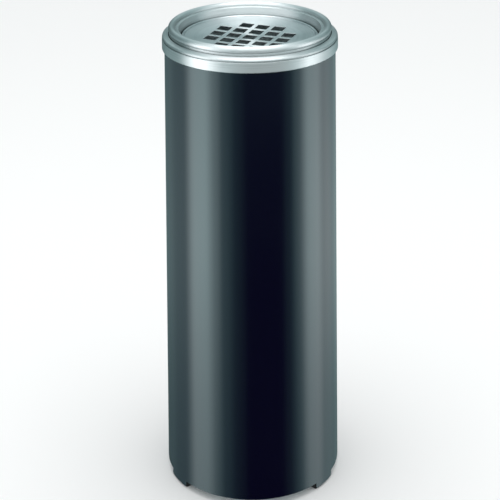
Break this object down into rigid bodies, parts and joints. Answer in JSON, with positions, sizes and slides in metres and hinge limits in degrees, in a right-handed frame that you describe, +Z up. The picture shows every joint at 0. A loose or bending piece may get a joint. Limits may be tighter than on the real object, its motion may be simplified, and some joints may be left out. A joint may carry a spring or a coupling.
{
  "type": "ashtray bin",
  "caption": "Free-standing round ashtray bin: black steel tube on short feet, aluminium collar, lift-out tray ring with square-holed strainer, and a lift-out inner can with a bail.",
  "frame": {"origin": "on the floor, under the axis of the shell, at the centre of the collar's circle", "axes": "+Z up along the shell's axis; the side that faces the viewer is -Y, so +X is to the viewer's right"},
  "size_m": [0.24, 0.24, 0.61],
  "materials": {
    "enamel": "satin black baked enamel on steel",
    "spun_aluminium": "satin spun aluminium with fine turning lines",
    "grille_aluminium": "satin pressed aluminium",
    "galvanised": "hot-dip galvanised sheet steel",
    "plated_steel": "zinc-plated steel fasteners and wire",
    "black_rubber": "matt black moulded rubber"
  },
  "bodies": {
    "body": {"body_shell": "enamel", "top_collar": "spun_aluminium", "collar_screws": "plated_steel", "base_plate": "galvanised", "foot_left": "black_rubber", "foot_right": "black_rubber", "foot_rear": "black_rubber", "foot_screws": "plated_steel", "foot_washers": "plated_steel", "foot_nuts": "plated_steel"},
    "tray": {"tray_ring": "spun_aluminium"},
    "strainer": {"strainer": "grille_aluminium"},
    "can": {"can_wall": "galvanised", "can_bottom": "galvanised", "can_rim_wire": "plated_steel", "can_ear_left": "galvanised", "can_ear_right": "galvanised", "ear_rivets": "plated_steel"},
    "bail": {"bail_handle": "plated_steel"}
  },
  "joints": [
    {"name": "tray_lift", "type": "slide", "parent": "body", "child": "tray", "axis": [0, 0, 1], "range_m": [0, 0.7]},
    {"name": "strainer_lift", "type": "slide", "parent": "tray", "child": "strainer", "axis": [0, 0, 1], "range_m": [0, 0.06]},
    {"name": "can_lift", "type": "slide", "parent": "body", "child": "can", "axis": [0, 0, 1], "range_m": [0, 0.63]},
    {"name": "bail_swing", "type": "hinge", "parent": "can", "child": "bail", "pos_m": [0, 0, 0.438], "axis": [-1, 0, 0], "range_deg": [0, 229]}
  ],
  "couplings": [
    {"joint": "can_lift", "follows": "tray_lift", "ratio": 0.9}
  ]
}
